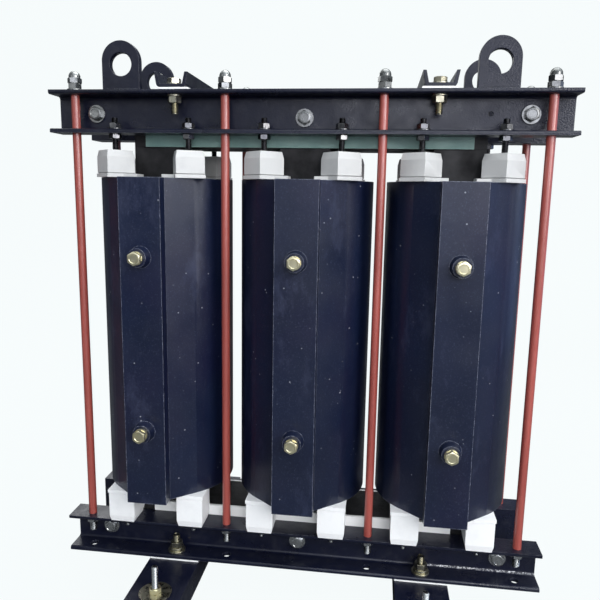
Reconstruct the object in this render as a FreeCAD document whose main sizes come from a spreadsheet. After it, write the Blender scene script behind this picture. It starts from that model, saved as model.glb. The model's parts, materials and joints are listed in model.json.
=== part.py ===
import FreeCAD, Part
import os
import re
import Sketcher

# A dry-type three-phase iron-core reactor for an inverter.
# Millimetres, +X along the frame, +Z up, front at -Y, origin on the floor at the middle of the part.

SIZES = (
    # frame of rolled channels
    ("frame_length", 802, "length of the four frame channels"),
    ("frame_height", 784, "underside of the lower channels to the top of the upper ones"),
    ("channel_height", 65, "height of a frame channel"),
    ("channel_width", 42, "width of a frame channel's flanges"),
    ("channel_web", 5, "web thickness of a frame channel"),
    ("channel_flange", 6.5, "flange thickness of a frame channel"),
    ("channel_root_round", 5, "round between web and flange"),
    ("channel_tip_round", 3.5, "round at the inner edge of a flange"),
    ("bolt_line", 25, "back of a channel's web to the line of holes along its flanges"),
    # iron core
    ("yoke_height", 83, "height of the upper and lower yokes"),
    ("leg_gap", 5, "thickness of a gap spacer in a leg"),
    ("board_thickness", 5, "insulating board between yoke and channel"),
    ("board_margin", 20.5, "end of a yoke to the end of its boards"),
    ("board_height", 83, "height of an insulating board"),
    # coils
    ("coil_end", 160.5, "end of the frame to the axis of the outer coil"),
    ("coil_space", 21.5, "clear space between neighbouring coils"),
    ("coil_wall", 41.5, "winding and resin of a coil, from its bore to its outside"),
    ("pad_width", 66, "width of the flat terminal pad on a coil"),
    ("pad_step", 25.5, "terminal pad in front of the coil's round"),
    ("flank_step", 5.5, "flat flanks beside the pad in front of the coil's round"),
    ("terminal_low", 126, "coil's lower end to its lower terminal"),
    ("terminal_drop", 121, "coil's upper end to its upper terminal"),
    ("boss_base_radius", 17, "foot of a terminal boss"),
    ("boss_face_radius", 14.5, "face of a terminal boss"),
    ("boss_height", 15, "terminal boss above its pad"),
    ("terminal_depth", 24, "hole in a terminal boss"),
    ("terminal_grip", 20, "thread of a terminal bolt inside its hole"),
    ("terminal_washer_radius", 10.5, "washers under a terminal bolt"),
    # blocks that hold the coils
    ("block_size", 45, "side of a support block"),
    ("block_margin", 20, "side of a leg to the middle of a block, along the frame"),
    ("lower_block_height", 58, "height of a lower support block"),
    ("upper_block_height", 42, "height of an upper support block"),
    ("block_taper", 10.5, "height of a block's tapered end"),
    ("block_inset", 2.2, "inset of a block's tapered end"),
    ("block_lip", 5.5, "thickness of the lip at a block's coil end"),
    ("block_lip_reach", 1.2, "lip beyond the block's side"),
    ("block_neck", 1.5, "height of the groove beside the lip"),
    ("block_neck_inset", 1, "depth of the groove beside the lip"),
    ("tongue_space", 40, "space between the tongues of a coil's two upper blocks"),
    ("tongue_width", 30, "width of an upper block's tongue"),
    ("block_screw_radius", 4, "screw that holds a lower block"),
    ("block_screw_grip", 14, "screw inside its block"),
    ("block_screw_reach", 11, "screw below the flange"),
    # tie rods between the channels
    ("rod_margin", 36.5, "end of the frame to the outer tie rods"),
    ("rod_radius", 6, "tie rod"),
    ("sleeve_wall", 0.6, "wall of a tie rod's insulating sleeve"),
    ("rod_end", 17, "tie rod below its lower nut"),
    ("rod_nut_height", 8.5, "upper nut of a tie rod"),
    ("rod_low_nut_height", 6, "thin lower nut of a tie rod"),
    ("cap_hex_height", 8.5, "hexagon of a cap nut"),
    ("cap_collar", 2, "straight part of a cap nut's dome"),
    ("cap_dome_radius", 9, "dome of a cap nut"),
    ("cap_thread", 12, "tie rod inside its cap nut"),
    ("cap_relief", 2, "free depth above the rod in a cap nut"),
    # bolts of 12 mm thread
    ("hex_flats", 19, "across the flats of the larger nuts and heads"),
    ("hex_height", 10, "height of the larger nuts"),
    ("head_height", 7.5, "height of the larger bolt heads"),
    ("bolt_radius", 6, "larger bolts"),
    ("washer_radius", 12, "larger washers"),
    ("washer_thickness", 2.5, "larger washers"),
    ("wide_washer_radius", 14, "wide washers on clamp bolts"),
    ("foot_washer_radius", 15, "wide washers on foot bolts"),
    ("wide_washer_thickness", 3, "wide washers"),
    ("hex_edge", 0.9, "height of the turned edge on nuts and heads"),
    ("hex_edge_inset", 0.3, "turned face inside the flats"),
    ("thread_fit", 0.1, "clearance between a thread and what is screwed on it"),
    ("hole_fit", 0.75, "clearance of a drilled hole"),
    ("thread_end", 8, "thread that stands past a nut"),
    ("foot_thread_end", 12, "thread that stands past the nut of a foot bolt"),
    # clamp bolts through the webs
    ("clamp_margin", 62.5, "end of the frame to the outer clamp bolts"),
    ("clamp_drop", 38, "top of the frame to the upper middle clamp bolt"),
    # jack screws above the coils
    ("jack_clearance", 26, "upper blocks to the underside of the upper channels"),
    ("jack_radius", 5, "jack stud"),
    ("jack_flats", 17, "across the flats of the jack nuts"),
    ("jack_nut_height", 8, "height of a jack nut"),
    ("jack_washer_radius", 11.5, "washer under a jack nut"),
    ("jack_washer_thickness", 2, "washer under a jack nut"),
    # cross beams and lifting lugs on the top
    ("beam_margin", 199, "end of the frame to a cross beam"),
    ("beam_width", 53, "width of a cross beam"),
    ("beam_height", 22.5, "height of a cross beam"),
    ("beam_wall", 5, "wall of a cross beam"),
    ("beam_lean", 4, "spread of a cross beam's flanges, each side"),
    ("beam_round", 6, "outer round of a cross beam"),
    ("beam_pad", 3, "pad between cross beam and channel"),
    ("lug_margin", 116, "end of the frame to the middle of a lifting lug"),
    ("lug_width", 60, "width of a lifting lug"),
    ("lug_thickness", 12, "thickness of a lifting lug"),
    ("lug_face", 33, "back of the web to the outer face of a lug"),
    ("lug_centre", 43.7, "top of the frame to the centre of a lug's round top"),
    ("eye_centre", 38.5, "top of the frame to the centre of a lug's eye"),
    ("eye_radius", 17.5, "eye of a lifting lug"),
    ("earth_margin", 120.4, "end of the frame to the earth hole"),
    ("earth_drop", 31.5, "top of the frame to the earth hole"),
    ("earth_radius", 4, "earth hole in the upper front channel"),
    # feet
    ("ground_gap", 12, "floor to the lower edge of a foot beam"),
    ("foot_margin", 189.5, "end of the frame to the middle of a foot beam"),
    ("foot_length", 470, "length of a foot beam"),
    ("foot_width", 87, "width of a foot beam"),
    ("foot_height", 42, "height of a foot beam"),
    ("foot_web", 5, "web of a foot beam"),
    ("foot_flange", 7, "flange of a foot beam"),
    ("foot_round", 6, "inner round of a foot beam"),
    ("foot_pad", 3, "pad between foot beam and channel"),
    ("buffer_margin", 53, "end of a foot beam to a rubber buffer"),
    ("buffer_radius", 25, "rubber buffer"),
    ("buffer_washer_radius", 26, "washer above a buffer"),
    ("buffer_washer_thickness", 2.5, "washer above a buffer"),
    ("stud_radius", 5, "stud of a rubber buffer"),
    ("stud_flats", 17, "across the flats of the nuts on a buffer's stud"),
    ("stud_nut_height", 8, "nut on a buffer's stud"),
    ("stud_grip", 14, "stud inside its buffer"),
    ("stud_reach", 47, "stud above the foot beam"),
)

# Section of a core leg inside its round bore, as shares of the bore's radius.
LEG_SHARE = "20 / 17"
STACK_SHARE = "91 / 68"

# Sizes that follow from the ones above
DERIVED = (
    ("coil_pitch", "frame_length / 2 - coil_end", "distance between neighbouring legs and coils"),
    ("coil_radius", "(coil_pitch - coil_space) / 2", "outside of a coil"),
    ("coil_bore", "coil_radius - coil_wall", "inner radius of a coil"),
    ("leg_width", "coil_bore * " + LEG_SHARE, "width of a core leg"),
    ("core_depth", "coil_bore * " + STACK_SHARE, "stack of core sheets, front to rear"),
    ("block_heights", "lower_block_height + upper_block_height", "blocks below and above a coil"),
    ("coil_height", "frame_height - 2 * channel_height - block_heights - jack_clearance", "height of a coil"),
    ("pad_reach", "coil_radius + pad_step", "coil axis to the face of its terminal pad"),
    ("flank_reach", "coil_radius + flank_step", "coil axis to the flanks where they meet the pad"),
    ("flank_root", "pad_width * pad_width / 4 + flank_reach * flank_reach",
     "square of the distance from a coil's axis to the line where a flank meets the pad"),
    ("flank_length", "sqrt(flank_root - coil_radius * coil_radius)", "width of a flank"),
    ("flank_side", "coil_radius * (coil_radius * pad_width / 2 + flank_length * flank_reach) / flank_root",
     "middle of a coil to the line where a flank meets the round"),
    ("flank_front", "coil_radius * (coil_radius * flank_reach - flank_length * pad_width / 2) / flank_root",
     "coil axis forward to the line where a flank meets the round"),
    ("terminal_high", "coil_height - terminal_drop", "coil's lower end to its upper terminal"),
    ("board_length", "2 * coil_pitch + leg_width - 2 * board_margin", "length of an insulating board"),
    ("block_spread", "leg_width / 2 + block_margin", "coil axis to the middle of a block, along the frame"),
    ("tongue_reach", "block_spread - tongue_space / 2", "middle of an upper block to the end of its tongue"),
    ("rod_pitch", "(frame_length - 2 * rod_margin) / 3", "distance between neighbouring tie rods"),
    ("clamp_reach", "frame_length / 2 - clamp_margin", "middle of the frame to the outer clamp bolts"),
    ("beam_spread", "frame_length / 2 - beam_margin", "middle of the frame to a cross beam"),
    ("lug_spread", "frame_length / 2 - lug_margin", "middle of the frame to a lifting lug"),
    ("earth_place", "frame_length / 2 - earth_margin", "middle of the frame to the earth hole"),
    ("foot_spread", "frame_length / 2 - foot_margin", "middle of the frame to a foot beam"),
    ("buffer_reach", "foot_length / 2 - buffer_margin", "middle of the part to a rubber buffer"),
)

# Turn of each upper front block about its jack screw, in degrees, from left to right.
BLOCK_TURNS = (45, -24, 45, 50, 38, 47)
# Turn from one upright nut to the next in a row, in degrees.
NUT_TURN = 17
SIDES = (("front", -1), ("rear", 1))
COILS = (("left", -1), ("middle", 0), ("right", 1))
PACKETS = 6
RODS = 4
HEX_SIDES = 6

doc = FreeCAD.newDocument("reactor")
sheet = doc.addObject("Spreadsheet::Sheet", "sizes")
FORMULAS = tuple((alias, "=" + formula, note) for alias, formula, note in DERIVED)
for row, (alias, size, note) in enumerate(SIZES + FORMULAS, 1):
    sheet.set("A%d" % row, str(size))
    sheet.set("B%d" % row, note)
    sheet.setAlias("A%d" % row, alias)
doc.recompute()

ALIASES = {alias for alias, size, note in SIZES + DERIVED}
NODES = []

# Levels and lines that several pieces share, as expressions of the sizes.
BASE = "(ground_gap + foot_height + foot_pad)"
TOP = "(%s + frame_height)" % BASE
WEB_BACK = "(core_depth / 2 + board_thickness)"
WEB_FACE = "(%s + channel_web)" % WEB_BACK
FLANGE_EDGE = "(%s + channel_width)" % WEB_BACK
HOLE_LINE = "(%s + bolt_line)" % WEB_BACK
LOW_FLANGE_TOP = "(%s + channel_height)" % BASE
HIGH_FLANGE_UNDER = "(%s - channel_height)" % TOP
COIL_FOOT = "(%s + lower_block_height)" % LOW_FLANGE_TOP
COIL_TOP = "(%s + coil_height)" % COIL_FOOT
BLOCK_TOP = "(%s + upper_block_height)" % COIL_TOP
FOOT_TOP = "(ground_gap + foot_height)"
BEAM_FOOT = "(%s + beam_pad)" % TOP
BEAM_FLOOR = "(%s + beam_wall)" % BEAM_FOOT


def sized(text):
    """An expression with each size's name pointing at its cell."""
    def cell(found):
        word = found.group()
        return "sizes." + word if word in ALIASES else word
    return re.sub(r"[a-z][a-z_]*", cell, text)


def value(text):
    """The number that an expression of the sizes has now."""
    return float(sheet.evalExpression(sized(text)))


def bind(thing, **sizes):
    """Bind properties of an object to expressions of the sizes."""
    for name, text in sizes.items():
        thing.setExpression(name, sized(text))
    return thing


def put(thing, x="0", y="0", z="0", turn=None):
    """Place an object by expressions, turned by a fixed rotation."""
    if turn is not None:
        thing.Placement = FreeCAD.Placement(FreeCAD.Vector(), turn)
    for axis, text in zip("xyz", (x, y, z)):
        thing.setExpression("Placement.Base." + axis, sized(text))
    return thing


def about(axis, degrees):
    return FreeCAD.Rotation(FreeCAD.Vector(*axis), degrees)


def turned(number):
    """The turn that a nut is left at, by its number in a row."""
    return about((0, 0, 1), NUT_TURN * number)


ALONG_Y = about((1, 0, 0), -90)
AGAINST_Y = about((1, 0, 0), 90)
UPSIDE_DOWN = about((1, 0, 0), 180)


def box(name, size, x, y, z):
    """A box with its lowest corner at x, y, z."""
    solid = doc.addObject("Part::Box", name)
    bind(solid, Length=size[0], Width=size[1], Height=size[2])
    return put(solid, x, y, z)


def middle_box(name, size, x, y, z):
    """A box standing on z, with its middle at x, y."""
    return box(name, size, "(%s) - (%s) / 2" % (x, size[0]), "(%s) - (%s) / 2" % (y, size[1]), z)


def cylinder(name, radius, height, x="0", y="0", z="0", turn=None):
    solid = doc.addObject("Part::Cylinder", name)
    bind(solid, Radius=radius, Height=height)
    return put(solid, x, y, z, turn)


def cone(name, low_radius, high_radius, height, x="0", y="0", z="0", turn=None):
    solid = doc.addObject("Part::Cone", name)
    bind(solid, Radius1=low_radius, Radius2=high_radius, Height=height)
    return put(solid, x, y, z, turn)


def fused(name, solids):
    joined = doc.addObject("Part::MultiFuse", name)
    joined.Shapes = solids
    joined.Refine = True
    return joined


def less(name, solid, tools):
    """A solid with the tools cut from it."""
    tool = tools[0]
    if len(tools) > 1:
        tool = doc.addObject("Part::Compound", name + "_tools")
        tool.Links = tools
    cut = doc.addObject("Part::Cut", name)
    cut.Base = solid
    cut.Tool = tool
    return cut


def copy_at(solid, name, x="0", y="0", z="0", turn=None):
    copied = doc.addObject("Part::Compound", name)
    copied.Links = [solid]
    return put(copied, x, y, z, turn)


def node(label, solids):
    """A sub-part: one solid, or a group of like solids."""
    made = solids[0]
    if len(solids) > 1:
        made = doc.addObject("Part::Compound", label)
        made.Links = solids
    made.Label = label
    NODES.append(made)
    return made


def plane_of(body, role):
    return next(item for item in body.Origin.OriginFeatures if item.Role == role)


def outline(body, name, role, points, round_side=None):
    """A closed outline whose corners are bound to expressions. One side may be an arc about the origin."""
    sketch = body.newObject("Sketcher::SketchObject", name)
    sketch.AttachmentSupport = [(plane_of(body, role), "")]
    sketch.MapMode = "FlatFace"
    corners = [FreeCAD.Vector(value(x), value(y), 0) for x, y in points]
    count = len(corners)
    for i, corner in enumerate(corners):
        following = corners[(i + 1) % count]
        side = Part.LineSegment(corner, following)
        if i == round_side:
            circle = Part.Circle(FreeCAD.Vector(), FreeCAD.Vector(0, 0, 1), corner.Length)
            side = Part.ArcOfCircle(circle, circle.parameter(corner), circle.parameter(following))
        sketch.addGeometry(side, False)
    for i in range(count):
        sketch.addConstraint(Sketcher.Constraint("Coincident", i, 2, (i + 1) % count, 1))
    if round_side is not None:
        sketch.addConstraint(Sketcher.Constraint("Coincident", round_side, 3, -1, 1))
    for i, (x, y) in enumerate(points):
        bound = [("DistanceX", x), ("DistanceY", y)]
        if round_side is not None and i == round_side + 1:
            bound = bound[:1]
        for kind, text in bound:
            index = sketch.addConstraint(Sketcher.Constraint(kind, -1, 1, i, 1, value(text)))
            sketch.setExpression("Constraints[%d]" % index, sized(text))
    return sketch


def rolled(name, role, points, length, rounds):
    """A straight section padded both ways from its sketch, with some of its long edges rounded."""
    body = doc.addObject("PartDesign::Body", name)
    sketch = outline(body, name + "_section", role, points)
    pad = body.newObject("PartDesign::Pad", name + "_pad")
    pad.Profile = sketch
    pad.SideType = "Symmetric"
    bind(pad, Length=length)
    doc.recompute()
    for number, (radius, places) in enumerate(rounds):
        wanted = [(value(a), value(b)) for a, b in places]
        sharp = body.Tip
        rounding = body.newObject("PartDesign::Fillet", "%s_round_%d" % (name, number))
        rounding.Base = (sharp, long_edges(sharp.Shape, role, wanted))
        bind(rounding, Radius=radius)
        doc.recompute()
    return body


def long_edges(shape, role, places):
    """Names of the edges that run along the section at the given places."""
    names = []
    near = 0.01
    for number, edge in enumerate(shape.Edges, 1):
        middle = edge.BoundBox.Center
        across = (middle.y, middle.z) if role == "YZ_Plane" else (middle.x, middle.z)
        along = middle.x if role == "YZ_Plane" else middle.y
        for place in places:
            if abs(across[0] - place[0]) + abs(across[1] - place[1]) + abs(along) < near:
                names.append("Edge%d" % number)
    return names


def hexagon(name, flats, height):
    """A hexagon with the turned edges of a nut, standing on its own origin."""
    prism = doc.addObject("Part::Prism", name + "_prism")
    prism.Polygon = HEX_SIDES
    bind(prism, Circumradius="%s / sqrt(3)" % flats, Height=height)
    small = "%s / 2 - hex_edge_inset" % flats
    large = "%s / sqrt(3)" % flats
    turned = fused(name + "_turned", [
        cone(name + "_low", small, large, "hex_edge"),
        cylinder(name + "_middle", large, "%s - 2 * hex_edge" % height, z="hex_edge"),
        cone(name + "_high", large, small, "hex_edge", z="%s - hex_edge" % height),
    ])
    common = doc.addObject("Part::MultiCommon", name)
    common.Shapes = [prism, turned]
    return common


def nut(name, flats, height, thread):
    return less(name, hexagon(name + "_hex", flats, height),
                [cylinder(name + "_bore", "%s + thread_fit" % thread, height)])


def washer(name, radius, thickness, thread):
    return less(name, cylinder(name + "_disc", radius, thickness),
                [cylinder(name + "_hole", "%s + hole_fit" % thread, thickness)])


def bolt(name, flats, head, radius, length):
    """A bolt whose head stands on its origin, with the shank hanging below."""
    return fused(name, [
        hexagon(name + "_head", flats, head),
        cylinder(name + "_shank", radius, length, z="-(%s)" % length),
    ])


def drills(name, radius, places, low, height):
    """Upright drills at places along one line of a channel."""
    return [cylinder("%s_%d" % (name, i), radius, height, x, y, low) for i, (x, y) in enumerate(places)]


# Places that repeat along the frame
ROD_PLACES = ["(%g * rod_pitch)" % (i - (RODS - 1) / 2) for i in range(RODS)]
CLAMP_PLACES = ["-clamp_reach", "0", "clamp_reach"]
LOW_WEB_MIDDLE = "(%s + channel_height / 2)" % BASE
HIGH_WEB_MIDDLE = "(%s - channel_height / 2)" % TOP
LOW_CLAMPS = [LOW_WEB_MIDDLE, LOW_WEB_MIDDLE, LOW_WEB_MIDDLE]
HIGH_CLAMPS = [HIGH_WEB_MIDDLE, "(%s - clamp_drop)" % TOP, HIGH_WEB_MIDDLE]
BLOCK_PLACES = ["(%d * coil_pitch + %d * block_spread)" % (c, s) for name, c in COILS for s in (-1, 1)]
BEAM_PLACES = ["-beam_spread", "beam_spread"]
FOOT_PLACES = ["-foot_spread", "foot_spread"]
LUG_PLACES = (("left", "-lug_spread"), ("right", "lug_spread"))


def at_side(side, text):
    return "%d * (%s)" % (side, text)


def channel(label, side, base, vertical, clamps, extra):
    """A frame channel with its web towards the core and its flanges outwards."""
    back = at_side(side, WEB_BACK)
    face = at_side(side, WEB_FACE)
    edge = at_side(side, FLANGE_EDGE)
    low = "(%s + channel_flange)" % base
    high = "(%s + channel_height - channel_flange)" % base
    top = "(%s + channel_height)" % base
    points = [(back, base), (edge, base), (edge, low), (face, low),
              (face, high), (edge, high), (edge, top), (back, top)]
    rounds = [("channel_root_round", [(face, low), (face, high)]),
              ("channel_tip_round", [(edge, low), (edge, high)])]
    body = rolled(label + "_bar", "YZ_Plane", points, "frame_length", rounds)
    across = at_side(side, HOLE_LINE)
    tools = []
    for name, radius, places, level in vertical:
        lines = [(place, across) for place in places]
        tools += drills("%s_%s" % (label, name), radius, lines, level, "channel_flange")
    deep = WEB_BACK if side > 0 else WEB_FACE
    for i, (x, z) in enumerate(zip(CLAMP_PLACES, clamps)):
        tools.append(cylinder("%s_clamp_%d" % (label, i), "bolt_radius + hole_fit", "channel_web", x,
                              at_side(side, deep), z, ALONG_Y))
    tools += extra
    return node(label, [less(label, body, tools)])


def channels():
    sleeve = "rod_radius + sleeve_wall + thread_fit + hole_fit"
    for name, side in SIDES:
        low = BASE
        high = "(%s + channel_height - channel_flange)" % BASE
        channel("lower_channel_" + name, side, low, [
            ("foot", "bolt_radius + hole_fit", FOOT_PLACES, low),
            ("under", "rod_radius + hole_fit", ROD_PLACES, low),
            ("rod", "rod_radius + hole_fit", ROD_PLACES, high),
            ("screw", "block_screw_radius + hole_fit", BLOCK_PLACES, high),
        ], LOW_CLAMPS, [])
        low = HIGH_FLANGE_UNDER
        high = "(%s - channel_flange)" % TOP
        earth = []
        if side < 0:
            earth = [cylinder("earth_drill", "earth_radius", "channel_web", "earth_place",
                              at_side(side, WEB_FACE), "%s - earth_drop" % TOP, ALONG_Y)]
        channel("upper_channel_" + name, side, low, [
            ("sleeve", sleeve, ROD_PLACES, low),
            ("jack", "jack_radius + hole_fit", BLOCK_PLACES, low),
            ("rod", "rod_radius + hole_fit", ROD_PLACES, high),
            ("beam", "bolt_radius + hole_fit", BEAM_PLACES, high),
        ], HIGH_CLAMPS, earth)


def iron_core():
    """Two yokes, three legs of packets with gap spacers between them, and the insulating boards."""
    length = "(2 * coil_pitch + leg_width)"
    yokes = (("lower", BASE, LOW_CLAMPS[1]), ("upper", "(%s - yoke_height)" % TOP, HIGH_CLAMPS[1]))
    for name, level, clamp in yokes:
        block = middle_box(name + "_yoke_block", (length, "core_depth", "yoke_height"), "0", "0", level)
        drill = cylinder(name + "_yoke_drill", "bolt_radius + hole_fit", "core_depth", "0",
                         "-core_depth / 2", clamp, ALONG_Y)
        node(name + "_yoke", [less(name + "_yoke", block, [drill])])
    boards = (("lower", BASE, LOW_CLAMPS[1]), ("upper", "(%s - board_height)" % TOP, HIGH_CLAMPS[1]))
    for name, level, clamp in boards:
        for end, side in SIDES:
            inner = "core_depth / 2" if side > 0 else "core_depth / 2 + board_thickness"
            label = "%s_board_%s" % (name, end)
            board = box(label + "_sheet", ("board_length", "board_thickness", "board_height"),
                        "-board_length / 2", at_side(side, inner), level)
            drill = cylinder(label + "_drill", "bolt_radius + hole_fit", "board_thickness", "0",
                             at_side(side, inner), clamp, ALONG_Y)
            node(label, [less(label, board, [drill])])
    foot = "(%s + yoke_height)" % BASE
    step = "((frame_height - 2 * yoke_height + leg_gap) / %d)" % PACKETS
    packet = ("leg_width", "core_depth", step + " - leg_gap")
    spacer = ("leg_width", "core_depth", "leg_gap")
    spacers = []
    for name, place in COILS:
        middle = "(%d * coil_pitch)" % place
        packets = []
        for i in range(PACKETS):
            level = "%s + %d * %s" % (foot, i, step)
            packets.append(middle_box("%s_packet_%d" % (name, i), packet, middle, "0", level))
            if i:
                spacers.append(middle_box("%s_gap_%d" % (name, i), spacer, middle, "0", level + " - leg_gap"))
        node("core_leg_" + name, packets)
    node("leg_gap_spacers", spacers)


def coil_casting():
    """A thick tube with a flat pad in front, flat flanks beside it and two terminal bosses on it."""
    body = doc.addObject("PartDesign::Body", "coil_body")
    left = "-pad_width / 2"
    right = "pad_width / 2"
    points = [(left, "-pad_reach"), (right, "-pad_reach"), (right, "-flank_reach"),
              ("flank_side", "-flank_front"), ("-flank_side", "-flank_front"), (left, "-flank_reach")]
    sketch = outline(body, "coil_section", "XY_Plane", points, round_side=3)
    pad = body.newObject("PartDesign::Pad", "coil_pad")
    pad.Profile = sketch
    bind(pad, Length="coil_height")
    put(body, z=COIL_FOOT)
    bosses = []
    tools = [cylinder("coil_bore_drill", "coil_bore", "coil_height", z=COIL_FOOT)]
    for end in ("low", "high"):
        level = "%s + terminal_%s" % (COIL_FOOT, end)
        bosses.append(cone("boss_" + end, "boss_base_radius", "boss_face_radius", "boss_height",
                           "0", "-pad_reach", level, AGAINST_Y))
        tools.append(cylinder("terminal_hole_" + end, "bolt_radius + thread_fit", "terminal_depth",
                              "0", "-(pad_reach + boss_height)", level, ALONG_Y))
    return less("coil_casting", fused("coil_blank", [body] + bosses), tools)


def coils():
    """Three like castings with a bolt and two washers on each terminal boss."""
    bolts = []
    washers = []
    casting = coil_casting()
    grip = bolt("terminal_bolt", "hex_flats", "head_height", "bolt_radius",
                "terminal_grip + 2 * washer_thickness")
    ring = washer("terminal_washer", "terminal_washer_radius", "washer_thickness", "bolt_radius")
    face = "-(pad_reach + boss_height)"
    head = face + " - 2 * washer_thickness"
    for name, place in COILS:
        middle = "(%d * coil_pitch)" % place
        node("coil_" + name, [copy_at(casting, "coil_%s_copy" % name, middle)])
        for end in ("low", "high"):
            level = "%s + terminal_%s" % (COIL_FOOT, end)
            tag = "terminal_%s_%s" % (name, end)
            bolts.append(copy_at(grip, tag + "_bolt", middle, head, level, AGAINST_Y))
            for i in range(2):
                washers.append(copy_at(ring, "%s_washer_%d" % (tag, i), middle,
                                       "%s - %d * washer_thickness" % (face, i), level, AGAINST_Y))
    node("terminal_bolts", bolts)
    node("terminal_washers", washers)


def block(name, height):
    """A support block that stands on its coil end, with a lip there and a taper at its frame end."""
    lip = "(block_size + 2 * block_lip_reach)"
    neck = "(block_size - 2 * block_neck_inset)"
    shoulder = "(block_lip + block_neck)"
    trunk = ("block_size", "block_size", "%s - block_taper - %s" % (height, shoulder))
    taper = doc.addObject("Part::Wedge", name + "_taper")
    half = "block_size / 2"
    small = "(%s - block_inset)" % half
    bind(taper, Xmin="-" + half, Xmax=half, Zmin="-" + half, Zmax=half, X2min="-" + small, X2max=small,
         Z2min="-" + small, Z2max=small, Ymin="0", Ymax="block_taper")
    put(taper, z="%s - block_taper" % height, turn=about((1, 0, 0), 90))
    return fused(name, [
        middle_box(name + "_lip", (lip, lip, "block_lip"), "0", "0", "0"),
        middle_box(name + "_neck", (neck, neck, "block_neck"), "0", "0", "block_lip"),
        middle_box(name + "_trunk", trunk, "0", "0", shoulder),
        taper,
    ])


def blocks():
    low = block("low_block", "lower_block_height")
    low = less("low_block_bored", low, [cylinder("low_block_hole", "block_screw_radius + thread_fit",
                                                 "block_screw_grip + hole_fit", "0", "0",
                                                 "lower_block_height - block_screw_grip - hole_fit")])
    high = block("high_block", "upper_block_height")
    screws = []
    length = "block_screw_grip + channel_flange + block_screw_reach"
    for coil, (name, place) in enumerate(COILS):
        lower = []
        upper = []
        for number, hand in enumerate((-1, 1)):
            for end, side in SIDES:
                x = "(%d * coil_pitch + %d * block_spread)" % (place, hand)
                y = at_side(side, HOLE_LINE)
                tag = "%s_%d_%s" % (name, number, end)
                lower.append(copy_at(low, "low_block_" + tag, x, y, COIL_FOOT, UPSIDE_DOWN))
                turn = about((0, 0, 1), side * BLOCK_TURNS[2 * coil + number])
                tongue = box("tongue_" + tag, ("tongue_reach", "tongue_width", "block_lip"),
                             x if hand < 0 else x + " - tongue_reach", y + " - tongue_width / 2", COIL_TOP)
                upper.append(fused("high_block_" + tag, [
                    copy_at(high, "high_trunk_" + tag, x, y, COIL_TOP, turn), tongue]))
                screws.append(cylinder("screw_" + tag, "block_screw_radius", length, x, y,
                                       "%s - channel_flange - block_screw_reach" % LOW_FLANGE_TOP))
        node("lower_blocks_" + name, lower)
        node("upper_blocks_" + name, upper)
    node("block_screws", screws)


def jack_screws():
    """A stud above each upper block, held by a nut over and a nut under the flange."""
    thick_nut = nut("jack_nut", "jack_flats", "jack_nut_height", "jack_radius")
    ring = washer("jack_washer", "jack_washer_radius", "jack_washer_thickness", "jack_radius")
    flange_top = "(%s + channel_flange)" % HIGH_FLANGE_UNDER
    nut_foot = "(%s + jack_washer_thickness)" % flange_top
    under_nut = "%s - jack_nut_height" % HIGH_FLANGE_UNDER
    length = "%s + jack_nut_height + thread_end - %s" % (nut_foot, BLOCK_TOP)
    studs = []
    nuts = []
    washers = []
    for i, x in enumerate(BLOCK_PLACES):
        for end, side in SIDES:
            y = at_side(side, HOLE_LINE)
            tag = "%d_%s" % (i, end)
            studs.append(cylinder("jack_stud_" + tag, "jack_radius", length, x, y, BLOCK_TOP))
            nuts.append(copy_at(thick_nut, "jack_top_" + tag, x, y, nut_foot, turned(i)))
            nuts.append(copy_at(thick_nut, "jack_under_" + tag, x, y, under_nut, turned(i + 2)))
            washers.append(copy_at(ring, "jack_ring_" + tag, x, y, flange_top))
    node("jack_studs", studs)
    node("jack_nuts", nuts)
    node("jack_washers", washers)


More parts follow.
